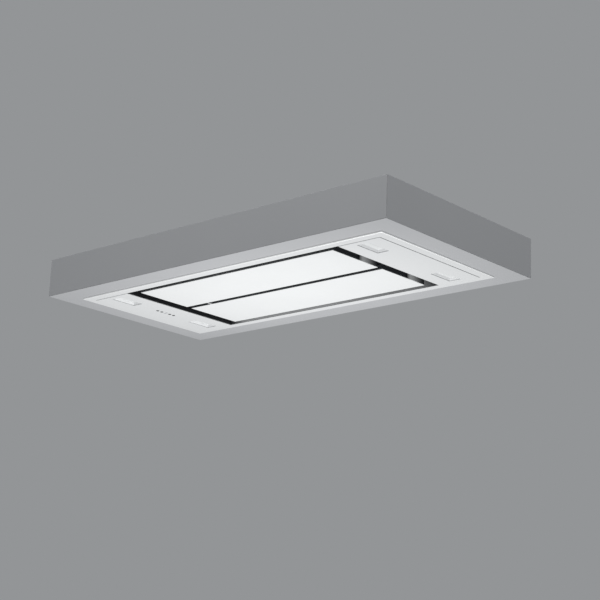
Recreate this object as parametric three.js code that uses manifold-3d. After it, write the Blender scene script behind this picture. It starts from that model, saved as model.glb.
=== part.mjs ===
// Ceiling hood for a kitchen island, with the surround casing that hides it below the ceiling.
// Lengths are in millimetres. z = 0 is the ceiling and +Z is up, so the hood hangs below zero.
// X runs along the hood, from the control end (-X) to the far lamps (+X); -Y is the near long side.

import * as THREE from "three";
import { ConvexGeometry } from "three/addons/geometries/ConvexGeometry.js";
import { mergeVertices } from "three/addons/utils/BufferGeometryUtils.js";
import Module from "manifold-3d";

// ---------------------------------------------------------------- driving dimensions

const seatGap = 0.3; // between two pieces that touch
const cutOver = 2; // how far a cutting tool runs past the face it opens
const rootSink = 0.5; // how far one joined shape runs into the next

// Face frame: the white border that lies under the casing
const faceLength = 1200;
const faceWidth = 520;
const frameEndBorder = 30;
const frameSideBorder = 29;
const endPlateLength = 145;
const frameFold = 4; // height of the folded outer edge
const faceSheet = 1.5;
const plateJoint = 1.4; // shadow line between border and end plates
const plateProud = 1.2; // end plates below the border

// Surround casing, lacquered board mitred on every edge
const casingMargin = 75; // board left showing round the face frame
const casingHeight = 120;
const boardThickness = 12;
const mitreGap = 0.25;
const cutoutClearance = 3;
const bracketLeg = 40;
const bracketHeight = 80;
const bracketSheet = 2;
const bracketScrewRadius = 2.5;
const bracketScrewInset = 24; // corner to a screw, along the leg
const bracketScrewDrops = [24, 62]; // ceiling to a screw

// Suction tray behind the opening
const trayDepth = 39; // from the visible face to the underside of the filter deck
const traySheet = 1;

// Suction panels
const panelEndGap = 38;
const panelSideGap = 22;
const panelSlit = 20; // between the two panels
const panelRecess = 0.6; // above the visible face
const glassThickness = 5;
const glassBevel = 0.8;
const panelTrayInset = 1.5; // tray wall inside the glass edge
const panelTrayDepth = 11;
const panelTraySheet = 1.2;

// Panel hinges and catches
const hingeInset = 70; // panel end to the middle of a hinge
const hingeHeight = 11.5; // pin above the panel's underside
const hingeOffset = 5.2; // pin outside the panel's long edge
const hingePinRadius = 2.3;
const knuckleRadius = 4.6;
const knuckleLength = 13;
const knuckleSideGap = 0.5;
const hingeEarSheet = 3;
const hingeEarRadius = 4;
const hingePinTail = 1; // pin past the far ear
const hingePinHead = 2;
const hingePinHeadRim = 1.2;
const strikeWidth = 80;
const strikeOffset = 55; // middle of a strike from the middle of its panel
const strikeReach = 18;
const strikeSheet = 1.2;
const catchBarHeight = 5;
const catchFootWidth = 24;

// Grease filters
const filterThickness = 9;
const filterEndClearance = 2.5; // catch bar to filter
const filterSpacing = 13; // between the two filters
const filterRearMargin = 30; // tray side wall to filter
const filterLatchMargin = 40;
const filterRim = 8; // deck overlap round the filter
const filterFrameWidth = 10;
const meshRecess = 1.5;
const ledgeReach = 7;
const ledgeSheet = 1;
const latchWidth = 60;
const latchDepth = 34; // pocket, from the filter's edge
const latchTravel = 8;
const latchTongue = 6;
const latchTongueGap = 1; // tongue to the upright of its ledge
const latchTongueWidth = 32;
const latchHeight = 5;
const latchFloor = 1.5; // filter sheet below the latch
const latchWallWidth = 8; // round the finger recess
const latchWeb = 1.2; // latch left above the finger recess
const latchBacking = 8; // filter frame behind the pocket

// Hood chassis
const chassisSheet = 1.2;
const chassisFlange = 8;
const chassisDrop = 26; // ceiling to the chassis top
const beadLength = 220; // stiffening beads pressed into the chassis top
const beadWidth = 16;
const beadHeight = 2.2;
const beadPitch = 58;
const beadCount = 4;
const beadX = -190;

// Ceiling rails and hanger bolts
const railWidth = 41;
const railHeight = 21;
const railWall = 2;
const railMouth = 22;
const railReturn = 5;
const railOverhang = 80; // rail past the middle of a bolt
const railInset = 58.5; // long side of the chassis to the middle of a rail
const railSlotLength = 30;
const railSlotWidth = 9;
const railSlotPitch = 240;
const crossSlotPitch = 160;
const boltInset = 150; // chassis end to a bolt
const boltRadius = 4;
const boltHeadThickness = 4;
const boltHeadLength = 18;
const boltHeadClearance = 2; // head to rail wall
const boltTail = 12; // bolt below the chassis top
const nutRadius = 7.5;
const nutHeight = 6;

// Lamps
const fittingInset = 105; // end of the face to the middle of the lamps and of the row of keys
const lampLength = 90;
const lampWidth = 40;
const lampSideMargin = 20; // side of the opening to a lamp
const lensRim = 3.5; // lens past the lamp opening
const lensThickness = 2.5;
const lensWall = 1.5;
const lensRecess = 5; // underside of the rim to the lit face
const lampHousingHeight = 22;
const lampHousingWall = 2;
const lampFinPitch = 12;
const lampFinHeight = 6;
const lampFinSheet = 2;
const lampFinInset = 4;
const lampFinCount = 7;
const plateFlange = 12;

// Controls
const keyRadius = 5;
const keyPitch = 17.5;
const keyProud = 0.8;
const keyFlat = 3.4; // radius of the flat on the domed cap
const keyDome = 0.6;
const keyTravel = 1.2;
const keyFlange = 1.4; // retaining flange past the key
const keyFlangeHeight = 1;
const keyStem = 6;
const keyStemRadius = 2.2;
const keyEndPlay = 0.5; // left over when a key is fully in
const displayLength = 15;
const displayWidth = 6;
const displayRim = 1.5;
const displayRimHeight = 2;
const controlHousingMargin = 14; // housing past the outermost key
const controlHousingWidth = 40;
const controlHousingHeight = 18;

// Blower
const impellerRadius = 105;
const impellerHeight = 34;
const impellerBladeDepth = 19;
const impellerBladeCount = 32;
const impellerSheet = 1.5;
const bladeSheet = 1.2;
const bladeSweep = 0.14; // angle from a blade's inner to its outer edge
const bladeSteps = 3;
const impellerRunning = 3; // impeller to the top of the housing
const hubRadius = 56;
const hubTaper = 5;
const shaftRadius = 4;
const shaftEndPlay = 1;
const motorRadius = 46;
const motorHeight = 22;
const motorBore = 8; // depth of the bearing bore
const motorRim = 3; // chamfer of the motor's lower edge
const motorFootLength = 6;
const motorFootWidth = 12;
const motorFootSheet = 2;
const housingHeight = 42.5;
const housingSheet = 1.2;
const scrollStart = 115; // radius at the tongue
const scrollEnd = 165; // radius where the outlet starts
const scrollSteps = 30;
const blowerX = -120;
const blowerY = 75;
const outletReach = 85; // outlet duct past the middle of the collar
const inletRadius = 84;
const inletLip = 5; // height of the rolled lip
const inletRollWidth = 3;
const inletRingWidth = 8;

// Outlet collar and non-return flaps
const collarRadius = 75;
const collarWall = 2.5;
const collarHeight = 64;
const collarFlange = 15;
const collarFlangeSheet = 2;
const collarX = 235;
const flapSheet = 1.2;
const flapClearance = 1;
const flapPinRadius = 1.5;
const flapPinOffset = 5; // each flap's pin from the collar's middle
const flapHeight = 26; // pin above the chassis top
const flapStop = 3;

// Junction box
const junctionInset = 190; // chassis end to the middle of the box
const junctionLength = 110;
const junctionWidth = 70;
const junctionHeight = 20;
const glandRadius = 8;
const glandLength = 14;
const glandWall = 3;
const glandNutRim = 1.5;
const glandNutLength = 5;
const cableHoleRadius = 6;

// ---------------------------------------------------------------- sizes that follow

const openingWidth = faceWidth - 2 * frameSideBorder;
const frameOpeningLength = faceLength - 2 * frameEndBorder;
const openingLength = frameOpeningLength - 2 * endPlateLength;
const casingLength = faceLength + 2 * casingMargin;
const casingWidth = faceWidth + 2 * casingMargin;

const faceLevel = -casingHeight - seatGap - frameFold; // visible underside of the frame
const faceTop = faceLevel + faceSheet;
const plateLevel = faceLevel - plateProud; // visible underside of the end plates
const plateTop = plateLevel + faceSheet;
const deckUnderside = faceLevel + trayDepth;

const trayHalfLength = openingLength / 2;
const trayHalfWidth = openingWidth / 2;

const chassisHalfLength = frameOpeningLength / 2 - plateJoint + seatGap + chassisSheet;
const chassisHalfWidth = trayHalfWidth + traySheet + seatGap + chassisSheet;
const boltSpacing = 2 * (chassisHalfLength - boltInset);
const railLength = boltSpacing + 2 * railOverhang;
const railSpacing = 2 * (chassisHalfWidth - railInset);
const junctionX = junctionInset - chassisHalfLength;
const chassisTop = -chassisDrop;
const chassisCeiling = chassisTop - chassisSheet;

const panelLength = openingLength - 2 * panelEndGap;
const panelWidth = (openingWidth - 2 * panelSideGap - panelSlit) / 2;
const panelUnderside = faceLevel + panelRecess;
const panelEdge = trayHalfWidth - panelSideGap; // long outer edge, from the middle
const panelTrayUnderside = panelUnderside + glassThickness + seatGap;
const panelTrayTop = panelTrayUnderside + panelTrayDepth;
const strikeTop = panelTrayTop + seatGap + strikeSheet;
const panelMiddle = (panelSlit + panelWidth) / 2;

const hingeSpacing = panelLength - 2 * hingeInset;
const hingeY = panelEdge + hingeOffset;
const hingeZ = panelUnderside + hingeHeight;
const hingeBore = hingePinRadius + seatGap;

const filterMargin = panelEndGap + strikeReach + filterEndClearance;
const filterLength = trayHalfLength - filterMargin - filterSpacing / 2;
const filterX = (filterLength + filterSpacing) / 2;
const filterTop = deckUnderside - seatGap;
const filterUnderside = filterTop - filterThickness;
const filterFarEdge = trayHalfWidth - filterRearMargin;
const filterNearEdge = -(trayHalfWidth - filterLatchMargin);
const latchLevel = filterUnderside + latchFloor;

const housingTop = chassisCeiling - seatGap;
const housingFloor = housingTop - housingHeight;
const impellerTop = housingTop - housingSheet - impellerRunning;
const impellerUnderside = impellerTop - impellerHeight;
const motorTop = housingTop - housingSheet - seatGap;
const motorUnderside = motorTop - motorHeight;

// ---------------------------------------------------------------- materials

const finish = (color, roughness, metalness) => () =>
  new THREE.MeshStandardMaterial({ color, roughness, metalness });

const greyLacquer = finish(0xb4b5b6, 0.6, 0);
const whitePowderCoat = finish(0xeceded, 0.45, 0);
const whiteGlass = finish(0xf4f5f6, 0.2, 0);
const blackCoating = finish(0x141517, 0.35, 0.2);
const galvanisedSteel = finish(0xaeb2b5, 0.45, 0.9);
const polishedSteel = finish(0xc9cbcd, 0.2, 1);
const aluminium = finish(0xc4c6c8, 0.4, 1);
const frostedLens = finish(0xf2f3f3, 0.5, 0);
const blackPlastic = finish(0x1c1d1f, 0.4, 0);
const greyPlastic = finish(0x6f7376, 0.55, 0);
const smokedWindow = finish(0x9a9da0, 0.1, 0);

// ---------------------------------------------------------------- solid operations

const wasm = await Module();
wasm.setup();

function toSolid(geometry) {
  const bare = geometry.index ? geometry.toNonIndexed() : geometry.clone();
  for (const name of Object.keys(bare.attributes)) {
    if (name !== "position") bare.deleteAttribute(name);
  }
  const merged = mergeVertices(bare, 1e-4);
  const vertProperties = new Float32Array(merged.attributes.position.array);
  const triVerts = new Uint32Array(merged.index.array);
  return new wasm.Manifold(new wasm.Mesh({ numProp: 3, vertProperties, triVerts }));
}

function toGeometry(solid) {
  const { numProp, numVert, vertProperties, triVerts } = solid.getMesh();
  const positions = new Float32Array(numVert * 3);
  for (let i = 0; i < numVert; i++) {
    positions.set(vertProperties.subarray(i * numProp, i * numProp + 3), i * 3);
  }
  const geometry = new THREE.BufferGeometry();
  geometry.setAttribute("position", new THREE.BufferAttribute(positions, 3));
  geometry.setIndex(new THREE.BufferAttribute(new Uint32Array(triVerts), 1));
  const faceted = geometry.toNonIndexed();
  faceted.computeVertexNormals();
  return faceted;
}

const join = (...bodies) =>
  toGeometry(bodies.map(toSolid).reduce((all, body) => all.add(body)));

const cut = (body, ...tools) =>
  toGeometry(tools.map(toSolid).reduce((left, tool) => left.subtract(tool), toSolid(body)));

// ---------------------------------------------------------------- simple shapes

// A box between two values on each axis, given in either order.
function block([x0, x1], [y0, y1], [z0, z1]) {
  const size = [Math.abs(x1 - x0), Math.abs(y1 - y0), Math.abs(z1 - z0)];
  const geometry = new THREE.BoxGeometry(...size);
  return geometry.translate((x0 + x1) / 2, (y0 + y1) / 2, (z0 + z1) / 2);
}

const centred = (size) => [-size / 2, size / 2];

// A round bar along Z, from one height to the other.
function post(radius, x, y, [z0, z1], segments = 24) {
  const geometry = new THREE.CylinderGeometry(radius, radius, Math.abs(z1 - z0), segments);
  return geometry.rotateX(Math.PI / 2).translate(x, y, (z0 + z1) / 2);
}

// A round bar along X.
function spindle(radius, [x0, x1], y, z, segments = 12) {
  const geometry = new THREE.CylinderGeometry(radius, radius, Math.abs(x1 - x0), segments);
  return geometry.rotateZ(Math.PI / 2).translate((x0 + x1) / 2, y, z);
}

// A profile of [radius, z] points turned about the Z axis.
function turned(profile, segments) {
  const points = profile.map(([radius, z]) => new THREE.Vector2(radius, z));
  return new THREE.LatheGeometry(points, segments).rotateX(Math.PI / 2);
}

function outline(points) {
  return new THREE.Shape(points.map(([x, y]) => new THREE.Vector2(x, y)));
}

function extruded(shape, [z0, z1], curveSegments = 8) {
  const options = { depth: z1 - z0, bevelEnabled: false, curveSegments };
  return new THREE.ExtrudeGeometry(shape, options).translate(0, 0, z0);
}

// A slot with round ends, cut along X.
function slotTool(length, width, x, y, [z0, z1]) {
  const reach = (length - width) / 2;
  const shape = new THREE.Shape();
  shape.absarc(reach, 0, width / 2, -Math.PI / 2, Math.PI / 2);
  shape.absarc(-reach, 0, width / 2, Math.PI / 2, (3 * Math.PI) / 2);
  return extruded(shape, [z0, z1], 4).translate(x, y, 0);
}

function mesh(name, geometry, material, x = 0, y = 0, z = 0) {
  const piece = new THREE.Mesh(geometry, material());
  piece.name = name;
  piece.position.set(x, y, z);
  return piece;
}

function group(...pieces) {
  const made = new THREE.Group();
  made.add(...pieces);
  return made;
}

// The far side and the far end repeat the near ones, turned half round the Z axis.
function halfTurned(...pieces) {
  const made = group(...pieces);
  made.rotation.z = Math.PI;
  return made;
}

// ---------------------------------------------------------------- surround casing

// One side board. Its ends and its lower edge are cut back at 45 degrees to meet the others.
function sideBoard(length) {
  const outer = length / 2 - mitreGap;
  const inner = outer - boardThickness;
  const floor = -casingHeight + mitreGap;
  const points = [];
  for (const side of [-1, 1]) {
    points.push(new THREE.Vector3(side * outer, 0, 0));
    points.push(new THREE.Vector3(side * outer, 0, floor));
    points.push(new THREE.Vector3(side * inner, boardThickness, 0));
    points.push(new THREE.Vector3(side * inner, boardThickness, floor + boardThickness));
  }
  return new ConvexGeometry(points);
}

function baseBoard() {
  const points = [];
  for (const [inset, z] of [
    [mitreGap, -casingHeight],
    [mitreGap + boardThickness, -casingHeight + boardThickness],
  ]) {
    for (const x of centred(casingLength - 2 * inset)) {
      for (const y of centred(casingWidth - 2 * inset)) points.push(new THREE.Vector3(x, y, z));
    }
  }
  const cutoutLength = 2 * (chassisHalfLength + chassisFlange + cutoutClearance);
  const cutoutWidth = 2 * (chassisHalfWidth + chassisFlange + cutoutClearance);
  const height = [-casingHeight - cutOver, -casingHeight + boardThickness + cutOver];
  return cut(
    new ConvexGeometry(points),
    block(centred(cutoutLength), centred(cutoutWidth), height),
  );
}

// Corner angle that screws to two side boards and, by its lug, to the ceiling.
function cornerBracket() {
  const far = bracketLeg;
  const thin = bracketSheet;
  const angle = outline([
    [0, 0],
    [far, 0],
    [far, thin],
    [thin, thin],
    [thin, far],
    [0, far],
  ]);
  const middle = bracketScrewInset;
  const through = [-cutOver, thin + cutOver];
  const screwHoles = bracketScrewDrops.flatMap((drop) => {
    const z = -drop;
    const along = post(bracketScrewRadius, 0, 0, through, 10);
    const acrossY = along.clone().rotateX(-Math.PI / 2).translate(middle, 0, z);
    const acrossX = along.clone().rotateY(Math.PI / 2).translate(0, middle, z);
    return [acrossY, acrossX];
  });
  return cut(
    join(extruded(angle, [-bracketHeight, 0]), block([0, far], [0, far], [-thin, 0])),
    post(bracketScrewRadius, middle, middle, [-thin - cutOver, cutOver], 10),
    ...screwHoles,
  );
}

function casing() {
  const board = (name, length, turn, x, y) => {
    const piece = mesh(name, sideBoard(length), greyLacquer, x, y);
    piece.rotation.z = turn;
    return piece;
  };
  const halfLength = casingLength / 2;
  const halfWidth = casingWidth / 2;
  const pieces = [
    board("casing_side_near", casingLength, 0, 0, -halfWidth),
    board("casing_side_right", casingWidth, Math.PI / 2, halfLength, 0),
    board("casing_side_far", casingLength, Math.PI, 0, halfWidth),
    board("casing_side_left", casingWidth, -Math.PI / 2, -halfLength, 0),
    mesh("casing_base", baseBoard(), greyLacquer),
  ];
  const insetX = halfLength - boardThickness - seatGap;
  const insetY = halfWidth - boardThickness - seatGap;
  [
    [-insetX, -insetY],
    [insetX, -insetY],
    [insetX, insetY],
    [-insetX, insetY],
  ].forEach(([x, y], corner) => {
    const name = `casing_corner_bracket_${corner + 1}`;
    const bracket = mesh(name, cornerBracket(), galvanisedSteel, x, y);
    bracket.rotation.z = (corner * Math.PI) / 2;
    pieces.push(bracket);
  });
  return group(...pieces);
}

// ---------------------------------------------------------------- ceiling rails

function railProfile() {
  const half = railWidth / 2;
  const mouth = railMouth / 2;
  const floor = -railHeight;
  return outline([
    [-half, 0],
    [-half, floor],
    [-mouth, floor],
    [-mouth, floor + railReturn],
    [-mouth - railWall, floor + railReturn],
    [-mouth - railWall, floor + railWall],
    [-half + railWall, floor + railWall],
    [-half + railWall, -railWall],
    [half - railWall, -railWall],
    [half - railWall, floor + railWall],
    [mouth + railWall, floor + railWall],
    [mouth + railWall, floor + railReturn],
    [mouth, floor + railReturn],
    [mouth, floor],
    [half, floor],
    [half, 0],
  ]);
}

// A slotted channel, open downwards, along X.
function rail(length, slotXs) {
  const bar = extruded(railProfile(), centred(length))
    .rotateX(Math.PI / 2)
    .rotateZ(Math.PI / 2);
  const depth = [-railWall - cutOver, cutOver];
  return cut(bar, ...slotXs.map((x) => slotTool(railSlotLength, railSlotWidth, x, 0, depth)));
}

// A bolt whose flat head hangs in the rail, with a nut above and one below the chassis top.
function hangerBolt() {
  const headUnderside = -railHeight + railReturn + seatGap;
  const headWidth = railWidth - 2 * railWall - 2 * boltHeadClearance;
  const headHeight = [headUnderside, headUnderside + boltHeadThickness];
  return join(
    block(centred(boltHeadLength), centred(headWidth), headHeight),
    post(boltRadius, 0, 0, [chassisTop - boltTail, headUnderside + rootSink], 16),
    post(nutRadius, 0, 0, [chassisTop + seatGap, -railHeight - seatGap], 6),
    post(nutRadius, 0, 0, [chassisCeiling - seatGap, chassisCeiling - nutHeight], 6),
  );
}

function ceilingFixing() {
  const y = railSpacing / 2;
  const longSlots = [-1.5, -0.5, 0.5, 1.5].map((step) => step * railSlotPitch);
  const crossLength = railSpacing - railWidth - 2 * seatGap;
  const crossRail = mesh("ceiling_cross_rail", rail(crossLength, centred(crossSlotPitch)), galvanisedSteel);
  crossRail.rotation.z = Math.PI / 2;
  const pieces = [
    mesh("ceiling_rail_near", rail(railLength, longSlots), galvanisedSteel, 0, -y),
    mesh("ceiling_rail_far", rail(railLength, longSlots), galvanisedSteel, 0, y),
    crossRail,
  ];
  for (const [index, [x, boltY]] of boltPlaces().entries()) {
    pieces.push(mesh(`hanger_bolt_${index + 1}`, hangerBolt(), polishedSteel, x, boltY));
  }
  return group(...pieces);
}

function boltPlaces() {
  const x = boltSpacing / 2;
  const y = railSpacing / 2;
  return [
    [-x, -y],
    [x, -y],
    [x, y],
    [-x, y],
  ];
}

// ---------------------------------------------------------------- chassis and face

// Pressed beads across the chassis top, as raised outsides or as the hollows below them.
function stiffeningBeads(inset, height) {
  return Array.from({ length: beadCount }, (_, bead) => {
    const y = (bead - (beadCount - 1) / 2) * beadPitch;
    return slotTool(beadLength - 2 * inset, beadWidth - 2 * inset, beadX, y, height);
  });
}

function chassis() {
  const floor = faceTop + seatGap;
  const flangeLength = 2 * (chassisHalfLength + chassisFlange);
  const flangeWidth = 2 * (chassisHalfWidth + chassisFlange);
  const innerLength = 2 * (chassisHalfLength - chassisSheet);
  const innerWidth = 2 * (chassisHalfWidth - chassisSheet);
  const through = [chassisCeiling - cutOver, chassisTop + cutOver];
  const boltHoles = boltPlaces().map(([x, y]) => post(boltRadius + seatGap, x, y, through, 16));
  return cut(
    join(
      block(centred(2 * chassisHalfLength), centred(2 * chassisHalfWidth), [floor, chassisTop]),
      block(centred(flangeLength), centred(flangeWidth), [floor, floor + chassisSheet]),
      ...stiffeningBeads(0, [chassisCeiling, chassisTop + beadHeight]),
    ),
    block(centred(innerLength), centred(innerWidth), [floor - cutOver, chassisCeiling]),
    ...stiffeningBeads(chassisSheet, [chassisCeiling - cutOver, chassisCeiling + beadHeight]),
    post(collarRadius - collarWall, collarX, 0, through, 40),
    post(cableHoleRadius, junctionX, 0, through, 16),
    ...boltHoles,
  );
}

function faceFrame() {
  const foldTop = -casingHeight - seatGap;
  const inside = (size) => centred(size - 2 * faceSheet);
  return cut(
    block(centred(faceLength), centred(faceWidth), [faceLevel, foldTop]),
    block(inside(faceLength), inside(faceWidth), [faceTop, foldTop + cutOver]),
    block(
      centred(frameOpeningLength),
      centred(openingWidth),
      [faceLevel - cutOver, foldTop + cutOver],
    ),
  );
}

const lampPlaces = [-1, 1].map((side) => [
  -(faceLength / 2 - fittingInset),
  side * (openingWidth / 2 - lampSideMargin - lampLength / 2),
]);
const keyPlaces = [-2, -1, 1, 2].map((step) => [
  -(faceLength / 2 - fittingInset),
  step * keyPitch,
]);

// The plate at the -X end, with its edges turned up. The +X plate is the same, without controls.
function endPlate(withControls) {
  const outerX = -(frameOpeningLength / 2 - plateJoint);
  const innerX = -trayHalfLength;
  const width = openingWidth - 2 * plateJoint;
  const flangeX = innerX - traySheet - seatGap;
  const flangeTop = plateTop + plateFlange;
  const through = [plateLevel - cutOver, plateTop + cutOver];
  const tools = lampPlaces.map(([x, y]) =>
    block([x - lampWidth / 2, x + lampWidth / 2], [y - lampLength / 2, y + lampLength / 2], through),
  );
  if (withControls) {
    for (const [x, y] of keyPlaces) tools.push(post(keyRadius + seatGap, x, y, through, 16));
    const x = keyPlaces[0][0];
    const reach = (displayLength + 2 * seatGap) / 2;
    tools.push(block([x - reach, x + reach], centred(displayWidth + 2 * seatGap), through));
  }
  return cut(
    join(
      block([outerX, innerX], centred(width), [plateLevel, plateTop]),
      cut(
        block([outerX, flangeX], centred(width), [plateLevel, flangeTop]),
        block(
          [outerX + faceSheet, flangeX - faceSheet],
          centred(width - 2 * faceSheet),
          [plateTop, flangeTop + cutOver],
        ),
      ),
    ),
    ...tools,
  );
}

// ---------------------------------------------------------------- suction tray

// Two ears that hang from the deck and hold one hinge pin of the near panel.
function hingeEars(x) {
  const reach = knuckleLength / 2 + knuckleSideGap;
  const bore = reach + hingeEarSheet + cutOver;
  return [-1, 1].map((side) => {
    const span = [x + side * reach, x + side * (reach + hingeEarSheet)];
    const y = -hingeY;
    return cut(
      join(
        block(span, [y - hingeEarRadius, y + hingeEarRadius], [hingeZ, deckUnderside + rootSink]),
        spindle(hingeEarRadius, span, y, hingeZ),
      ),
      spindle(hingeBore, [x - bore, x + bore], y, hingeZ),
    );
  });
}

// An angle that hangs from the deck along one long edge of the filters.
function filterLedge(edge, reach, top) {
  const side = Math.sign(edge);
  const back = edge + side * seatGap;
  const length = centred(2 * (filterX + filterLength / 2));
  return join(
    block(length, [back, back + side * ledgeSheet], [top - ledgeSheet, deckUnderside + rootSink]),
    block(length, [back, back - side * reach], [top - ledgeSheet, top]),
  );
}

function suctionTray() {
  const floor = faceTop + seatGap;
  const deckTop = deckUnderside + traySheet;
  const tub = cut(
    block(
      centred(2 * (trayHalfLength + traySheet)),
      centred(2 * (trayHalfWidth + traySheet)),
      [floor, deckTop],
    ),
    block(centred(openingLength), centred(openingWidth), [floor - cutOver, deckUnderside]),
  );
  const filterMiddle = (filterFarEdge + filterNearEdge) / 2;
  const openingY = (filterFarEdge - filterNearEdge) / 2 - filterRim;
  const openingX = filterLength / 2 - filterRim;
  const windows = [-filterX, filterX].map((x) =>
    block(
      [x - openingX, x + openingX],
      [filterMiddle - openingY, filterMiddle + openingY],
      [deckUnderside - cutOver, deckTop + cutOver],
    ),
  );
  const nearEars = centred(hingeSpacing).flatMap(hingeEars);
  const farEars = centred(hingeSpacing)
    .flatMap(hingeEars)
    .map((ear) => ear.rotateZ(Math.PI));
  const latchLedge = filterNearEdge - latchTongue - seatGap;
  return join(
    cut(tub, ...windows),
    filterLedge(filterFarEdge, ledgeReach, filterUnderside - seatGap),
    filterLedge(latchLedge, latchTongue - latchTongueGap, latchLevel - seatGap),
    ...nearEars,
    ...farEars,
  );
}

// ---------------------------------------------------------------- grease filters

// A framed mesh pack. The two faces are set back, and a pocket holds the latch.
function greaseFilter() {
  const x = filterLength / 2;
  const meshX = [filterFrameWidth - x, x - filterFrameWidth];
  const pocketEnd = filterNearEdge + latchDepth;
  const meshY = [pocketEnd + latchBacking, filterFarEdge - filterFrameWidth];
  const pocket = latchWidth / 2 + seatGap;
  const finger = latchWidth / 2 - latchWallWidth + seatGap;
  return cut(
    block([-x, x], [filterNearEdge, filterFarEdge], [filterUnderside, filterTop]),
    block(meshX, meshY, [filterUnderside - cutOver, filterUnderside + meshRecess]),
    block(meshX, meshY, [filterTop - meshRecess, filterTop + cutOver]),
    block(
      [-pocket, pocket],
      [filterNearEdge - cutOver, pocketEnd + seatGap],
      [latchLevel - seatGap, latchLevel + latchHeight + seatGap],
    ),
    block(
      [-finger, finger],
      [filterNearEdge + latchWallWidth, pocketEnd],
      [filterUnderside - cutOver, latchLevel],
    ),
  );
}

// A sliding latch whose tongue lies on the tray's ledge. A finger pulls it back by its recess.
function filterLatch() {
  const back = filterNearEdge + latchDepth - latchTravel;
  const front = filterNearEdge + seatGap;
  const tongueEnd = filterNearEdge - latchTongue + latchTongueGap;
  const height = [latchLevel, latchLevel + latchHeight];
  return cut(
    join(
      block(centred(latchWidth), [front, back], height),
      block(centred(latchTongueWidth), [tongueEnd, front + rootSink], height),
    ),
    block(
      centred(latchWidth - 2 * latchWallWidth),
      [front + latchWallWidth, back - latchWallWidth / 2],
      [latchLevel - cutOver, latchLevel + latchHeight - latchWeb],
    ),
  );
}

// ---------------------------------------------------------------- suction panels

// All of this is the near panel; the far one is turned half round.
const panelSpanY = [-panelEdge, -panelEdge + panelWidth];

// White glass with its edges ground to a small bevel on both faces.
function panelGlass() {
  const [outer, inner] = panelSpanY;
  const x = panelLength / 2 - glassBevel;
  const shape = outline([
    [-x, outer + glassBevel],
    [x, outer + glassBevel],
    [x, inner - glassBevel],
    [-x, inner - glassBevel],
  ]);
  return new THREE.ExtrudeGeometry(shape, {
    depth: glassThickness - 2 * glassBevel,
    bevelThickness: glassBevel,
    bevelSize: glassBevel,
    bevelSegments: 1,
  }).translate(0, 0, panelUnderside + glassBevel);
}

// The folded tray that the glass is bonded to, open above, with the two hinge knuckles.
function panelTray() {
  const outer = panelSpanY[0] + panelTrayInset;
  const inner = panelSpanY[1] - panelTrayInset;
  const length = panelLength - 2 * panelTrayInset;
  const knuckles = centred(hingeSpacing).map((x) => {
    const span = [x - knuckleLength / 2, x + knuckleLength / 2];
    return join(
      block(span, [-hingeY, outer + rootSink], [hingeZ - panelTraySheet, hingeZ + panelTraySheet]),
      spindle(knuckleRadius, span, -hingeY, hingeZ),
    );
  });
  const tray = cut(
    block(centred(length), [outer, inner], [panelTrayUnderside, panelTrayTop]),
    block(
      centred(length - 2 * panelTraySheet),
      [outer + panelTraySheet, inner - panelTraySheet],
      [panelTrayUnderside + panelTraySheet, panelTrayTop + cutOver],
    ),
  );
  const bore = spindle(hingeBore, centred(hingeSpacing + 4 * knuckleLength), -hingeY, hingeZ);
  return cut(join(tray, ...knuckles), bore);
}

// Steel angle on the -X end of the panel, which the magnet of the catch bar holds.
function catchStrike() {
  const end = -panelLength / 2;
  const outside = end - seatGap - strikeSheet;
  const width = centred(strikeWidth);
  return join(
    block([outside, end - seatGap], width, [panelUnderside + glassBevel, strikeTop]),
    block([outside, end + strikeReach], width, [panelTrayTop + seatGap, strikeTop]),
  );
}

// A headed pin through both ears and the knuckle between them.
function hingePin() {
  const reach = knuckleLength / 2 + knuckleSideGap + hingeEarSheet;
  const head = -reach - seatGap;
  return join(
    spindle(hingePinRadius, [head - rootSink, reach + hingePinTail], 0, 0),
    spindle(hingePinRadius + hingePinHeadRim, [head - hingePinHead, head], 0, 0),
  );
}

function panel(side) {
  const hand = side === "near" ? ["left", "right"] : ["right", "left"];
  const name = (part) => `panel_${side}_${part}`;
  const strike = (end, y) => mesh(name(`strike_${end}`), catchStrike(), polishedSteel, 0, y);
  const farStrike = strike(hand[1], strikeOffset - panelMiddle);
  farStrike.rotation.z = Math.PI;
  const pieces = [
    mesh(name("glass"), panelGlass(), whiteGlass),
    mesh(name("tray"), panelTray(), blackCoating),
    strike(hand[0], -strikeOffset - panelMiddle),
    farStrike,
  ];
  centred(hingeSpacing).forEach((x, index) => {
    const pinName = name(`hinge_pin_${hand[index]}`);
    pieces.push(mesh(pinName, hingePin(), polishedSteel, x, -hingeY, hingeZ));
  });
  return side === "near" ? group(...pieces) : halfTurned(...pieces);
}

// The bar at the -X end under the deck, with a magnet foot over each panel's strike.
function catchBar() {
  const end = -panelLength / 2;
  const x = [end, end + strikeReach];
  const top = deckUnderside - seatGap;
  const half = catchFootWidth / 2;
  const places = [-panelMiddle - strikeOffset, panelMiddle - strikeOffset];
  const feet = places.map((y) => block(x, [y - half, y + half], [strikeTop + seatGap, top]));
  const length = [places[0] - half, places[1] + half];
  return join(block(x, length, [top - catchBarHeight, top]), ...feet);
}

// ---------------------------------------------------------------- lamps

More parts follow.
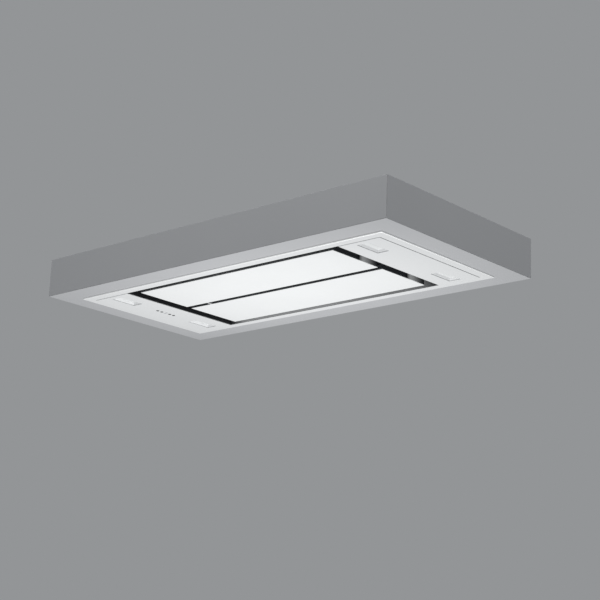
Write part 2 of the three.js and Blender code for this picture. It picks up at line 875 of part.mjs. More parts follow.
// A finned cap that holds the lens down on the end plate.
function lampHousing() {
  const pocketX = lampWidth / 2 + lensRim + seatGap;
  const pocketY = lampLength / 2 + lensRim + seatGap;
  const halfX = pocketX + lampHousingWall;
  const halfY = pocketY + lampHousingWall;
  const trayRoom = 2 * (lensWall + seatGap);
  const floor = plateTop + seatGap;
  const top = floor + lampHousingHeight;
  const fins = [];
  for (let fin = 0; fin < lampFinCount; fin++) {
    const y = (fin - (lampFinCount - 1) / 2) * lampFinPitch;
    const span = [y - lampFinSheet / 2, y + lampFinSheet / 2];
    const reach = [lampFinInset - halfX, halfX - lampFinInset];
    fins.push(block(reach, span, [top - lampFinHeight - rootSink, top]));
  }
  const shell = cut(
    block([-halfX, halfX], [-halfY, halfY], [floor, top - lampFinHeight]),
    block([-pocketX, pocketX], [-pocketY, pocketY], [floor - cutOver, floor + lensThickness + seatGap]),
    block(
      centred(lampWidth + trayRoom),
      centred(lampLength + trayRoom),
      [floor, floor + lensRecess + lensThickness + seatGap],
    ),
    block(
      centred(lampWidth),
      centred(lampLength),
      [floor, top - lampFinHeight - lampHousingWall],
    ),
  );
  return join(shell, ...fins);
}

// A moulded tray, open below, with a rim that lies on the end plate round its opening.
function lampLens() {
  const floor = plateTop + seatGap;
  const litFace = floor + lensRecess;
  const plan = (past) => [centred(lampWidth + 2 * past), centred(lampLength + 2 * past)];
  return cut(
    join(
      block(...plan(lensRim), [floor, floor + lensThickness]),
      block(...plan(lensWall), [floor, litFace + lensThickness]),
    ),
    block(...plan(0), [floor - cutOver, litFace]),
  );
}

function lampPair(end) {
  const [first, second] = end === "left" ? ["near", "far"] : ["far", "near"];
  const pieces = lampPlaces.flatMap(([x, y], index) => {
    const name = `lamp_${end}_${index === 0 ? first : second}`;
    return [
      mesh(`${name}_housing`, lampHousing(), aluminium, x, y),
      mesh(`${name}_lens`, lampLens(), frostedLens, x, y),
    ];
  });
  return end === "left" ? group(...pieces) : halfTurned(...pieces);
}

// ---------------------------------------------------------------- controls

const keyShelf = plateTop + seatGap; // underside of the retaining flanges at rest

// A round key with a domed cap, a retaining flange and a stem.
function controlKey() {
  const cap = plateLevel - keyProud;
  const flangeTop = keyShelf + keyFlangeHeight;
  return turned(
    [
      [0, cap],
      [keyFlat, cap],
      [keyRadius, cap + keyDome],
      [keyRadius, keyShelf],
      [keyRadius + keyFlange, keyShelf],
      [keyRadius + keyFlange, flangeTop],
      [keyStemRadius, flangeTop],
      [keyStemRadius, flangeTop + keyStem],
      [0, flangeTop + keyStem],
    ],
    16,
  );
}

function displayWindow() {
  return join(
    block(centred(displayLength), centred(displayWidth), [plateLevel, keyShelf + rootSink]),
    block(
      centred(displayLength + 2 * displayRim),
      centred(displayWidth + 2 * displayRim),
      [keyShelf, keyShelf + displayRimHeight],
    ),
  );
}

// The box behind the keys, with a well for each key and one for the display.
function controlHousing() {
  const wellRadius = keyRadius + keyFlange + seatGap;
  const wellTop = keyShelf + keyFlangeHeight + keyTravel + keyEndPlay;
  const boreRadius = keyStemRadius + seatGap;
  const boreTop = wellTop + keyStem;
  const rim = displayRim + seatGap;
  const length = 2 * (Math.max(...keyPlaces.map(([, y]) => y)) + controlHousingMargin);
  const wells = keyPlaces.flatMap(([, y]) => [
    post(wellRadius, 0, y, [keyShelf - cutOver, wellTop], 16),
    post(boreRadius, 0, y, [wellTop - rootSink, boreTop], 12),
  ]);
  return cut(
    block(
      centred(controlHousingWidth),
      centred(length),
      [keyShelf, keyShelf + controlHousingHeight],
    ),
    ...wells,
    block(
      centred(displayLength + 2 * rim),
      centred(displayWidth + 2 * rim),
      [keyShelf - cutOver, keyShelf + displayRimHeight + seatGap],
    ),
  );
}

function controls() {
  const x = keyPlaces[0][0];
  return group(
    ...keyPlaces.map(([keyX, y], index) =>
      mesh(`control_key_${index + 1}`, controlKey(), blackPlastic, keyX, y),
    ),
    mesh("control_display", displayWindow(), smokedWindow, x),
    mesh("control_housing", controlHousing(), greyPlastic, x),
  );
}

// ---------------------------------------------------------------- blower

// The housing's plan: a spiral that grows round the impeller, then a straight outlet duct.
// grow moves the whole outline outwards, so that one outline gives both faces of the sheet.
function scrollOutline(grow) {
  const points = [];
  for (let step = 0; step <= scrollSteps; step++) {
    const share = step / scrollSteps;
    const angle = share * 1.5 * Math.PI;
    const radius = scrollStart + (scrollEnd - scrollStart) * share + grow;
    points.push([blowerX + radius * Math.cos(angle), blowerY + radius * Math.sin(angle)]);
  }
  const ductNear = blowerY - scrollEnd - grow;
  const ductFar = blowerY + grow;
  const ductEnd = collarX + outletReach + grow;
  points.push([ductEnd, ductNear], [ductEnd, ductFar]);
  return outline(points);
}

// Sheet housing with a rolled inlet ring below and a round opening above for the collar.
function blowerHousing() {
  const ringTop = housingFloor + housingSheet;
  const lip = turned(
    [
      [inletRadius, housingFloor],
      [inletRadius + inletRingWidth, housingFloor],
      [inletRadius + inletRingWidth, ringTop],
      [inletRadius + inletRollWidth, ringTop],
      [inletRadius, ringTop + inletLip],
      [inletRadius - housingSheet, ringTop + inletLip],
      [inletRadius - housingSheet, ringTop],
      [inletRadius, housingFloor],
    ],
    40,
  ).translate(blowerX, blowerY, 0);
  const inlet = inletRadius + inletRingWidth / 2;
  const shell = cut(
    extruded(scrollOutline(housingSheet), [housingFloor, housingTop]),
    extruded(scrollOutline(0), [ringTop, housingTop - housingSheet]),
    post(inlet, blowerX, blowerY, [housingFloor - cutOver, ringTop + cutOver], 40),
    post(collarRadius - collarWall, collarX, 0, [housingTop - cutOver, housingTop + cutOver], 40),
  );
  return join(shell, lip);
}

// One forward-curved blade, in plan.
function bladeOutline() {
  const inner = impellerRadius - impellerBladeDepth;
  const depth = impellerBladeDepth - rootSink;
  const edge = (offset) =>
    Array.from({ length: bladeSteps + 1 }, (_, step) => {
      const share = step / bladeSteps;
      const radius = inner + depth * share;
      const angle = bladeSweep * share * share;
      return [
        radius * Math.cos(angle) - offset * Math.sin(angle),
        radius * Math.sin(angle) + offset * Math.cos(angle),
      ];
    });
  return outline([...edge(-bladeSheet / 2), ...edge(bladeSheet / 2).reverse()]);
}

// Back disc with the hub bowl for the motor, a ring of blades, the front ring and the shaft.
function impeller() {
  const inner = impellerRadius - impellerBladeDepth;
  const bowlFloor = motorUnderside - impellerRunning;
  const shaftTop = motorUnderside + motorBore - shaftEndPlay;
  const disc = turned(
    [
      [0, bowlFloor - impellerSheet],
      [hubRadius - hubTaper, bowlFloor - impellerSheet],
      [hubRadius, impellerTop - impellerSheet],
      [impellerRadius, impellerTop - impellerSheet],
      [impellerRadius, impellerTop],
      [hubRadius - impellerSheet, impellerTop],
      [hubRadius - hubTaper - impellerSheet, bowlFloor],
      [shaftRadius, bowlFloor],
      [shaftRadius, shaftTop],
      [0, shaftTop],
    ],
    32,
  );
  const ring = turned(
    [
      [inner, impellerUnderside],
      [impellerRadius, impellerUnderside],
      [impellerRadius, impellerUnderside + impellerSheet],
      [inner, impellerUnderside + impellerSheet],
      [inner, impellerUnderside],
    ],
    32,
  );
  const bladeHeight = [impellerUnderside + impellerSheet / 2, impellerTop - impellerSheet / 2];
  const blades = Array.from({ length: impellerBladeCount }, (_, index) =>
    extruded(bladeOutline(), bladeHeight).rotateZ((index / impellerBladeCount) * 2 * Math.PI),
  );
  return join(disc, ring, ...blades);
}

// Motor body with three feet against the housing's top.
function motor() {
  const body = turned(
    [
      [0, motorUnderside + motorBore],
      [shaftRadius + seatGap, motorUnderside + motorBore],
      [shaftRadius + seatGap, motorUnderside],
      [motorRadius - motorRim, motorUnderside],
      [motorRadius, motorUnderside + motorRim],
      [motorRadius, motorTop],
      [0, motorTop],
    ],
    32,
  );
  const footReach = [motorRadius - motorFootLength, motorRadius + motorFootLength];
  const feet = [0, 1, 2].map((foot) =>
    block(footReach, centred(motorFootWidth), [motorTop - motorFootSheet, motorTop]).rotateZ(
      (foot * 2 * Math.PI) / 3,
    ),
  );
  return join(body, ...feet);
}

// ---------------------------------------------------------------- outlet collar

const collarFloor = chassisTop + seatGap;
const flapZ = chassisTop + flapHeight;

// Duct spigot with a flange on the chassis, a stop ring for the flaps and holes for their pins.
function outletCollar() {
  const bore = collarRadius - collarWall;
  const stopTop = flapZ - flapPinRadius - seatGap;
  const stopUnderside = stopTop - 2 * flapStop;
  const body = turned(
    [
      [bore, collarFloor],
      [collarRadius + collarFlange, collarFloor],
      [collarRadius + collarFlange, collarFloor + collarFlangeSheet],
      [collarRadius, collarFloor + collarFlangeSheet],
      [collarRadius, collarFloor + collarHeight],
      [bore, collarFloor + collarHeight],
      [bore, stopTop],
      [bore - flapStop, stopTop],
      [bore, stopUnderside],
      [bore, collarFloor],
    ],
    40,
  );
  const pinHoles = [-flapPinOffset, flapPinOffset].map((x) =>
    spindle(flapPinRadius + seatGap, centred(2 * collarRadius + 2 * cutOver), 0, 0)
      .rotateZ(Math.PI / 2)
      .translate(x, 0, flapZ),
  );
  return cut(body, ...pinHoles);
}

// Half a disc on its pin. The pin lies at the flap's own origin.
function damperFlap() {
  const radius = collarRadius - collarWall - flapClearance;
  const disc = post(radius, -flapPinOffset, 0, centred(flapSheet), 48);
  const half = block([0, radius], centred(2 * radius), [-flapSheet, flapSheet]);
  const plate = toGeometry(toSolid(disc).intersect(toSolid(half)));
  const pinLength = 2 * (collarRadius - collarWall / 2);
  const pin = spindle(flapPinRadius, centred(pinLength), 0, 0).rotateZ(Math.PI / 2);
  return join(plate, pin);
}

function blower() {
  const leftFlap = mesh("damper_flap_left", damperFlap(), blackPlastic);
  leftFlap.position.set(collarX - flapPinOffset, 0, flapZ);
  leftFlap.rotation.z = Math.PI;
  const rightFlap = mesh("damper_flap_right", damperFlap(), blackPlastic);
  rightFlap.position.set(collarX + flapPinOffset, 0, flapZ);
  return group(
    mesh("blower_housing", blowerHousing(), galvanisedSteel),
    mesh("impeller", impeller(), blackPlastic, blowerX, blowerY),
    mesh("blower_motor", motor(), aluminium, blowerX, blowerY),
    mesh("outlet_collar", outletCollar(), greyPlastic, collarX),
    leftFlap,
    rightFlap,
  );
}

// ---------------------------------------------------------------- junction box

// Mains box on the chassis, with a gland at its end and the wire entry below it.
function junctionBox() {
  const floor = chassisTop + seatGap;
  const half = junctionLength / 2;
  const glandZ = floor + junctionHeight / 2;
  const body = block(centred(junctionLength), centred(junctionWidth), [floor, floor + junctionHeight]);
  return cut(
    join(
      body,
      spindle(glandRadius, [rootSink - half, -half - glandLength], 0, glandZ),
      spindle(glandRadius + glandNutRim, [rootSink - half, -half - glandNutLength], 0, glandZ, 6),
    ),
    spindle(glandRadius - glandWall, [-half - glandLength - cutOver, -half], 0, glandZ),
  );
}

// ---------------------------------------------------------------- assembly

const hood = group(
  casing(),
  ceilingFixing(),
  mesh("chassis", chassis(), galvanisedSteel),
  mesh("face_frame", faceFrame(), whitePowderCoat),
  mesh("end_plate_left", endPlate(true), whitePowderCoat),
  halfTurned(mesh("end_plate_right", endPlate(false), whitePowderCoat)),
  mesh("suction_tray", suctionTray(), blackCoating),
  mesh("grease_filter_left", greaseFilter(), aluminium, -filterX),
  mesh("filter_latch_left", filterLatch(), polishedSteel, -filterX),
  mesh("grease_filter_right", greaseFilter(), aluminium, filterX),
  mesh("filter_latch_right", filterLatch(), polishedSteel, filterX),
  panel("near"),
  panel("far"),
  mesh("catch_bar_left", catchBar(), blackPlastic),
  halfTurned(mesh("catch_bar_right", catchBar(), blackPlastic)),
  lampPair("left"),
  lampPair("right"),
  controls(),
  blower(),
  mesh("junction_box", junctionBox(), greyPlastic, junctionX),
);
hood.name = "island_ceiling_hood";

export default hood;
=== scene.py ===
"""Looks of a ceiling hood for a kitchen island, with its surround casing.

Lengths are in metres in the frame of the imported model: z = 0 is the ceiling and the hood hangs
below it, +X runs to the lamp-only end and -Y is the near long side.
"""
import math

import bmesh
import bpy
from mathutils import Matrix, Vector


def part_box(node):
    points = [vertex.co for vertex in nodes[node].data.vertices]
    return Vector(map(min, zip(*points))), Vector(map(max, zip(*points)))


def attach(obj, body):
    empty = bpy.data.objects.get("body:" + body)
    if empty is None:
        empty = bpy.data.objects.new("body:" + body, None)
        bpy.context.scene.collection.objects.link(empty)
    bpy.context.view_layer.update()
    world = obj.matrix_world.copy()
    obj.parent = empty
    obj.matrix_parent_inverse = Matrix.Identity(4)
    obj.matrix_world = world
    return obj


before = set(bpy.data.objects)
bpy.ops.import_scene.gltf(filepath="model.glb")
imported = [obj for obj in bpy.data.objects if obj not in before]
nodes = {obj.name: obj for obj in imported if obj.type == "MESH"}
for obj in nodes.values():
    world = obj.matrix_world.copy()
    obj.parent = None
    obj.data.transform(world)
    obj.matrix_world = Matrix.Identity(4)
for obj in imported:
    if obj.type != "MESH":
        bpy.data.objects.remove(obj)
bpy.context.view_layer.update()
scene = bpy.context.scene

MM = 0.001


# ---------------------------------------------------------------- colours and nodes


def linear(hex_colour):
    """An sRGB hex colour as linear red, green, blue and alpha."""
    channels = [int(hex_colour[i : i + 2], 16) / 255 for i in (1, 3, 5)]
    turned = [c / 12.92 if c <= 0.04045 else ((c + 0.055) / 1.055) ** 2.4 for c in channels]
    return (*turned, 1.0)


def add(tree, kind, inputs=None, **settings):
    """Adds one node, with its settings, its input values and its links."""
    made = tree.nodes.new(kind)
    for name, value in settings.items():
        setattr(made, name, value)
    for name, value in (inputs or {}).items():
        if isinstance(value, bpy.types.NodeSocket):
            tree.links.new(value, made.inputs[name])
        else:
            made.inputs[name].default_value = value
    return made


def start_material(name):
    """A bare material, its tree and the object coordinates in metres."""
    material = bpy.data.materials.new(name)
    material.use_nodes = True
    tree = material.node_tree
    tree.nodes.clear()
    place = add(tree, "ShaderNodeTexCoord").outputs["Object"]
    return material, tree, place


def end_material(tree, bsdf):
    """Gives a material its finished surface."""
    add(tree, "ShaderNodeOutputMaterial", {"Surface": bsdf.outputs["BSDF"]})


def per_metre(size_mm):
    """The texture scale at which one cell of a pattern is this many millimetres wide."""
    return 1000.0 / size_mm


# ---------------------------------------------------------------- materials


def lacquered_board():
    """Fibreboard sprayed with matt grey lacquer: soft even grey, with the gun's faint orange peel
    and a slow drift of tone over each board."""
    material, tree, place = start_material("lacquered_board")
    drift = add(tree, "ShaderNodeTexNoise", {"Vector": place, "Scale": per_metre(420), "Detail": 3.0})
    tone = add(
        tree,
        "ShaderNodeMix",
        {"Factor": drift.outputs["Fac"], "A": linear("#acadaf"), "B": linear("#b1b2b4")},
        data_type="RGBA",
    )
    # The real peel is about 1.5 mm across, drawn at 5 mm so that it shows at all.
    peel = add(tree, "ShaderNodeTexNoise", {"Vector": place, "Scale": per_metre(5), "Detail": 2.0})
    gloss = add(
        tree,
        "ShaderNodeMapRange",
        {"Value": peel.outputs["Fac"], "To Min": 0.60, "To Max": 0.70},
    )
    bump = add(
        tree,
        "ShaderNodeBump",
        {"Height": peel.outputs["Fac"], "Strength": 0.05, "Distance": 0.2 * MM},
    )
    bsdf = add(
        tree,
        "ShaderNodeBsdfPrincipled",
        {
            "Base Color": tone.outputs["Result"],
            "Roughness": gloss.outputs["Result"],
            "Normal": bump.outputs["Normal"],
            "IOR": 1.48,
        },
    )
    end_material(tree, bsdf)
    return material


def powder_coated_steel():
    """Folded steel with satin white powder coat: soft white with a fine even grain."""
    material, tree, place = start_material("powder_coated_steel")
    # Powder grain is about 0.5 mm, drawn at 2.5 mm.
    grain = add(tree, "ShaderNodeTexNoise", {"Vector": place, "Scale": per_metre(2.5), "Detail": 3.0})
    drift = add(tree, "ShaderNodeTexNoise", {"Vector": place, "Scale": per_metre(300)})
    tone = add(
        tree,
        "ShaderNodeMix",
        {"Factor": drift.outputs["Fac"], "A": linear("#dadbdc"), "B": linear("#e0e1e1")},
        data_type="RGBA",
    )
    gloss = add(
        tree,
        "ShaderNodeMapRange",
        {"Value": grain.outputs["Fac"], "To Min": 0.34, "To Max": 0.46},
    )
    bump = add(
        tree,
        "ShaderNodeBump",
        {"Height": grain.outputs["Fac"], "Strength": 0.12, "Distance": 0.1 * MM},
    )
    bsdf = add(
        tree,
        "ShaderNodeBsdfPrincipled",
        {
            "Base Color": tone.outputs["Result"],
            "Roughness": gloss.outputs["Result"],
            "Normal": bump.outputs["Normal"],
            "IOR": 1.5,
        },
    )
    end_material(tree, bsdf)
    return material


def back_painted_glass():
    """Satin-etched float glass with white paint behind it: the brightest white, with a wide soft
    sheen that the roll waviness of float glass bends a little."""
    material, tree, place = start_material("back_painted_glass")
    # The roll waves are about 120 mm long.
    roll = add(tree, "ShaderNodeTexNoise", {"Vector": place, "Scale": per_metre(120), "Detail": 1.0})
    tone = add(
        tree,
        "ShaderNodeMix",
        {"Factor": roll.outputs["Fac"], "A": linear("#e3e4e4"), "B": linear("#e7e8e8")},
        data_type="RGBA",
    )
    bump = add(
        tree,
        "ShaderNodeBump",
        {"Height": roll.outputs["Fac"], "Strength": 0.05, "Distance": 0.3 * MM},
    )
    bsdf = add(
        tree,
        "ShaderNodeBsdfPrincipled",
        {
            "Base Color": tone.outputs["Result"],
            "Roughness": 0.5,
            "Normal": bump.outputs["Normal"],
            "IOR": 1.52,
        },
    )
    end_material(tree, bsdf)
    return material


def glass_edge_painted_shade():
    """The ground edge of the glass: it carries no paint, and its dark grey is painted shade that
    stands for the dark channel behind it.
    """
    material, tree, place = start_material("glass_edge_painted_shade")
    # The grinding marks are about 0.1 mm, drawn at 1 mm.
    marks = add(tree, "ShaderNodeTexNoise", {"Vector": place, "Scale": per_metre(1), "Detail": 2.0})
    tone = add(
        tree,
        "ShaderNodeMix",
        {"Factor": marks.outputs["Fac"], "A": linear("#4b4f52"), "B": linear("#5c6063")},
        data_type="RGBA",
    )
    bsdf = add(
        tree,
        "ShaderNodeBsdfPrincipled",
        {"Base Color": tone.outputs["Result"], "Roughness": 0.35, "IOR": 1.52},
    )
    end_material(tree, bsdf)
    return material


def dark_coated_steel(name, light, dark):
    """Steel sheet with a dark satin coating: an even dark tone with a soft low sheen."""
    material, tree, place = start_material(name)
    # The coat's grain is about 0.5 mm, drawn at 3 mm.
    grain = add(tree, "ShaderNodeTexNoise", {"Vector": place, "Scale": per_metre(3), "Detail": 3.0})
    tone = add(
        tree,
        "ShaderNodeMix",
        {"Factor": grain.outputs["Fac"], "A": linear(dark), "B": linear(light)},
        data_type="RGBA",
    )
    gloss = add(
        tree,
        "ShaderNodeMapRange",
        {"Value": grain.outputs["Fac"], "To Min": 0.38, "To Max": 0.55},
    )
    bump = add(
        tree,
        "ShaderNodeBump",
        {"Height": grain.outputs["Fac"], "Strength": 0.12, "Distance": 0.1 * MM},
    )
    bsdf = add(
        tree,
        "ShaderNodeBsdfPrincipled",
        {
            "Base Color": tone.outputs["Result"],
            "Roughness": gloss.outputs["Result"],
            "Normal": bump.outputs["Normal"],
            "IOR": 1.5,
        },
    )
    end_material(tree, bsdf)
    return material


def coat_painted_light_and_shade():
    """Steel sheet with a light grey coat on the long walls of the suction tray. Its pale tone is
    partly painted light on the wall seen in the channel, and painted shade takes it to black in the
    corners and darkens it towards the lamp-only end."""
    material, tree, place = start_material("coat_painted_light_and_shade")
    along = add(tree, "ShaderNodeSeparateXYZ", {"Vector": place}).outputs["X"]
    from_middle = add(tree, "ShaderNodeMath", {0: along}, operation="ABSOLUTE")
    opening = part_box("suction_tray")[1].x
    # Painted shade: the coat goes to black over the last 75 mm at each corner.
    corner_shade_reach = 75 * MM
    corner = add(
        tree,
        "ShaderNodeMapRange",
        {
            "Value": from_middle.outputs["Value"],
            "From Min": opening,
            "From Max": opening - corner_shade_reach,
        },
        interpolation_type="SMOOTHSTEP",
    )
    # Painted shade: the coat darkens halfway to the dark grey towards the lamp-only end.
    end_shade = add(
        tree,
        "ShaderNodeMapRange",
        {"Value": along, "From Min": 0.0, "From Max": opening, "To Min": 1.0, "To Max": 0.5},
    )
    share = add(
        tree,
        "ShaderNodeMath",
        {0: corner.outputs["Result"], 1: end_shade.outputs["Result"]},
        operation="MULTIPLY",
    )
    # The pale grey is partly painted light, and the dark grey is painted shade.
    tone = add(
        tree,
        "ShaderNodeMix",
        {"Factor": share.outputs["Value"], "A": linear("#424446"), "B": linear("#e8e9ea")},
        data_type="RGBA",
    )
    bsdf = add(
        tree,
        "ShaderNodeBsdfPrincipled",
        {"Base Color": tone.outputs["Result"], "Roughness": 0.46, "IOR": 1.5},
    )
    end_material(tree, bsdf)
    return material


def galvanised_steel():
    """Hot-dip galvanised sheet: grey zinc in flat crystals of slightly different brightness."""
    material, tree, place = start_material("galvanised_steel")
    # The crystals are about 14 mm across, and their brightness drifts over 60 mm.
    spangle = add(tree, "ShaderNodeTexVoronoi", {"Vector": place, "Scale": per_metre(14)})
    drift = add(tree, "ShaderNodeTexNoise", {"Vector": place, "Scale": per_metre(60), "Detail": 4.0})
    level = add(tree, "ShaderNodeSeparateColor", {"Color": spangle.outputs["Color"]})
    shade = add(
        tree,
        "ShaderNodeMath",
        {0: level.outputs["Red"], 1: drift.outputs["Fac"]},
        operation="MULTIPLY",
    )
    tone = add(
        tree,
        "ShaderNodeMix",
        {"Factor": shade.outputs["Value"], "A": linear("#adb1b4"), "B": linear("#c6c9cb")},
        data_type="RGBA",
    )
    gloss = add(
        tree,
        "ShaderNodeMapRange",
        {"Value": level.outputs["Red"], "To Min": 0.36, "To Max": 0.46},
    )
    bsdf = add(
        tree,
        "ShaderNodeBsdfPrincipled",
        {
            "Base Color": tone.outputs["Result"],
            "Metallic": 0.85,
            "Roughness": gloss.outputs["Result"],
        },
    )
    end_material(tree, bsdf)
    return material


def zinc_plated_steel():
    """Bright zinc-plated small parts: smooth, with a faint uneven film."""
    material, tree, place = start_material("zinc_plated_steel")
    # The film's patches are about 6 mm across.
    film = add(tree, "ShaderNodeTexNoise", {"Vector": place, "Scale": per_metre(6), "Detail": 3.0})
    tone = add(
        tree,
        "ShaderNodeMix",
        {"Factor": film.outputs["Fac"], "A": linear("#b4b7b9"), "B": linear("#d3d5d6")},
        data_type="RGBA",
    )
    gloss = add(
        tree,
        "ShaderNodeMapRange",
        {"Value": film.outputs["Fac"], "To Min": 0.20, "To Max": 0.34},
    )
    bsdf = add(
        tree,
        "ShaderNodeBsdfPrincipled",
        {
            "Base Color": tone.outputs["Result"],
            "Metallic": 1.0,
            "Roughness": gloss.outputs["Result"],
        },
    )
    end_material(tree, bsdf)
    return material


def steel_painted_glint():
    """Steel strike plate with a painted highlight: bright steel near one end that fades to painted
    shade over the rest."""
    material, tree, place = start_material("steel_painted_glint")
    span = add(tree, "ShaderNodeTexCoord").outputs["Generated"]
    along = add(tree, "ShaderNodeSeparateXYZ", {"Vector": span})
    # Brushing marks of about 1.5 mm make the border of the painted highlight wander.
    brushing = add(
        tree, "ShaderNodeTexNoise", {"Vector": place, "Scale": per_metre(1.5), "Detail": 2.0}
    )
    wander = add(
        tree,
        "ShaderNodeMath",
        {0: brushing.outputs["Fac"], 1: 0.12, 2: along.outputs["Y"]},
        operation="MULTIPLY_ADD",
    )
    long_fade = add(
        tree,
        "ShaderNodeMapRange",
        {"Value": wander.outputs["Value"], "From Min": 0.20, "From Max": 1.05},
        interpolation_type="SMOOTHSTEP",
    )
    short_fade = add(
        tree,
        "ShaderNodeMapRange",
        {
            "Value": wander.outputs["Value"],
            "From Min": 0.02,
            "From Max": 0.26,
            "To Min": 0.75,
            "To Max": 0.0,
        },
        interpolation_type="SMOOTHSTEP",
    )
    painted_dark_share = add(
        tree,
        "ShaderNodeMath",
        {0: long_fade.outputs["Result"], 1: short_fade.outputs["Result"]},
        operation="MAXIMUM",
    )
    # The bright colour is a painted highlight, and the dark colour is painted shade.
    tone = add(
        tree,
        "ShaderNodeMix",
        {"Factor": painted_dark_share.outputs["Value"], "A": linear("#f2f3f3"), "B": linear("#3c3e41")},
        data_type="RGBA",
    )
    # The brushing runs along the plate, so its highlight spreads across it.
    across = add(tree, "ShaderNodeTangent", direction_type="RADIAL", axis="Y")
    bsdf = add(
        tree,
        "ShaderNodeBsdfPrincipled",
        {
            "Base Color": tone.outputs["Result"],
            "Metallic": 1.0,
            "Roughness": 0.6,
            "Anisotropic": 0.9,
            "Tangent": across.outputs["Tangent"],
        },
    )
    end_material(tree, bsdf)
    return material


def glossy_coat_painted_highlight():
    """White powder coat with a clear gloss layer on the frame's rolled edge, with a base whiter than
    the satin white beside it: the gloss is real, and the extra white is a painted highlight line round
    the frame."""
    material, tree, place = start_material("glossy_coat_painted_highlight")
    # The buffing marks are about 0.1 mm, drawn at 1 mm.
    marks = add(tree, "ShaderNodeTexNoise", {"Vector": place, "Scale": per_metre(1)})
    # The whiter tone, above the satin white of the rest of the frame, is a painted highlight.
    tone = add(
        tree,
        "ShaderNodeMix",
        {"Factor": marks.outputs["Fac"], "A": linear("#f6f7f7"), "B": linear("#ffffff")},
        data_type="RGBA",
    )
    bsdf = add(
        tree,
        "ShaderNodeBsdfPrincipled",
        {
            "Base Color": tone.outputs["Result"],
            "Roughness": 0.30,
            "IOR": 1.6,
            "Coat Weight": 0.6,
            "Coat Roughness": 0.2,
        },
    )
    end_material(tree, bsdf)
    return material


def rolled_aluminium():
    """Rolled aluminium of the filters: silver with fine lengthwise rolling lines."""
    material, tree, place = start_material("rolled_aluminium")
    # The lines are about 0.1 mm apart, drawn 2 mm apart and 25 mm long.
    stretched = add(tree, "ShaderNodeMapping", {"Vector": place, "Scale": (1.0, 12.0, 12.0)})
    lines = add(
        tree,
        "ShaderNodeTexNoise",
        {"Vector": stretched.outputs["Vector"], "Scale": per_metre(25), "Detail": 4.0},
    )
    tone = add(
        tree,
        "ShaderNodeMix",
        {"Factor": lines.outputs["Fac"], "A": linear("#a9abad"), "B": linear("#cccfd1")},
        data_type="RGBA",
    )
    gloss = add(
        tree,
        "ShaderNodeMapRange",
        {"Value": lines.outputs["Fac"], "To Min": 0.28, "To Max": 0.46},
    )
    bsdf = add(
        tree,
        "ShaderNodeBsdfPrincipled",
        {
            "Base Color": tone.outputs["Result"],
            "Metallic": 1.0,
            "Roughness": gloss.outputs["Result"],
        },
    )
    end_material(tree, bsdf)
    return material


def layered_aluminium_mesh():
    """The filters' mesh layers behind the front one: staggered openings in grey metal, dark with
    painted shade.
    """
    material, tree, place = start_material("layered_aluminium_mesh")
    # The layers' openings are about 5 mm apart.
    cells = add(
        tree,
        "ShaderNodeTexVoronoi",
        {"Vector": place, "Scale": per_metre(5)},
        feature="DISTANCE_TO_EDGE",
    )
    strand = add(
        tree,
        "ShaderNodeMapRange",
        {"Value": cells.outputs["Distance"], "From Min": 0.05, "From Max": 0.22},
    )
    # The dark in the openings is painted shade of the depth behind them.
    tone = add(
        tree,
        "ShaderNodeMix",
        {"Factor": strand.outputs["Result"], "A": linear("#a6a9ab"), "B": linear("#242628")},
        data_type="RGBA",
    )
    bump = add(
        tree,
        "ShaderNodeBump",
        {"Height": strand.outputs["Result"], "Strength": 0.6, "Distance": 0.8 * MM},
        invert=True,
    )
    bsdf = add(
        tree,
        "ShaderNodeBsdfPrincipled",
        {
            "Base Color": tone.outputs["Result"],
            "Metallic": 0.6,
            "Roughness": 0.45,
            "Normal": bump.outputs["Normal"],
        },
    )
    end_material(tree, bsdf)
    return material


def die_cast_aluminium():
    """Die-cast aluminium of the lamp bodies and the motor: pale grey with a sandy skin."""
    material, tree, place = start_material("die_cast_aluminium")
    # The skin's grain is about 0.8 mm, drawn at 2 mm.
    skin = add(tree, "ShaderNodeTexNoise", {"Vector": place, "Scale": per_metre(2), "Detail": 4.0})
    tone = add(
        tree,
        "ShaderNodeMix",
        {"Factor": skin.outputs["Fac"], "A": linear("#9b9ea1"), "B": linear("#bdc0c2")},
        data_type="RGBA",
    )
    bump = add(
        tree,
        "ShaderNodeBump",
        {"Height": skin.outputs["Fac"], "Strength": 0.3, "Distance": 0.2 * MM},
    )
    bsdf = add(
        tree,
        "ShaderNodeBsdfPrincipled",
        {
            "Base Color": tone.outputs["Result"],
            "Metallic": 0.9,
            "Roughness": 0.5,
            "Normal": bump.outputs["Normal"],
        },
    )
    end_material(tree, bsdf)
    return material


def frosted_acrylic():
    """Moulded acrylic diffuser: soft white with fine prism ribs across it."""
    material, tree, place = start_material("frosted_acrylic")
    # The ribs run across the lamp. They are 2.5 mm apart, drawn at 5 mm so that they show. At scale 1
    # the bands of a wave are a tenth of pi apart.
    ribs = add(
        tree,
        "ShaderNodeTexWave",
        {"Vector": place, "Scale": per_metre(5) * math.pi / 10},
        bands_direction="Y",
    )
    tone = add(
        tree,
        "ShaderNodeMix",
        {"Factor": ribs.outputs["Fac"], "A": linear("#d8dada"), "B": linear("#e5e6e6")},
        data_type="RGBA",
    )
    bump = add(
        tree,
        "ShaderNodeBump",
        {"Height": ribs.outputs["Fac"], "Strength": 0.2, "Distance": 0.2 * MM},
    )
    bsdf = add(
        tree,
        "ShaderNodeBsdfPrincipled",
        {
            "Base Color": tone.outputs["Result"],
            "Roughness": 0.3,
            "IOR": 1.49,
            "Normal": bump.outputs["Normal"],
        },
    )
    end_material(tree, bsdf)
    return material


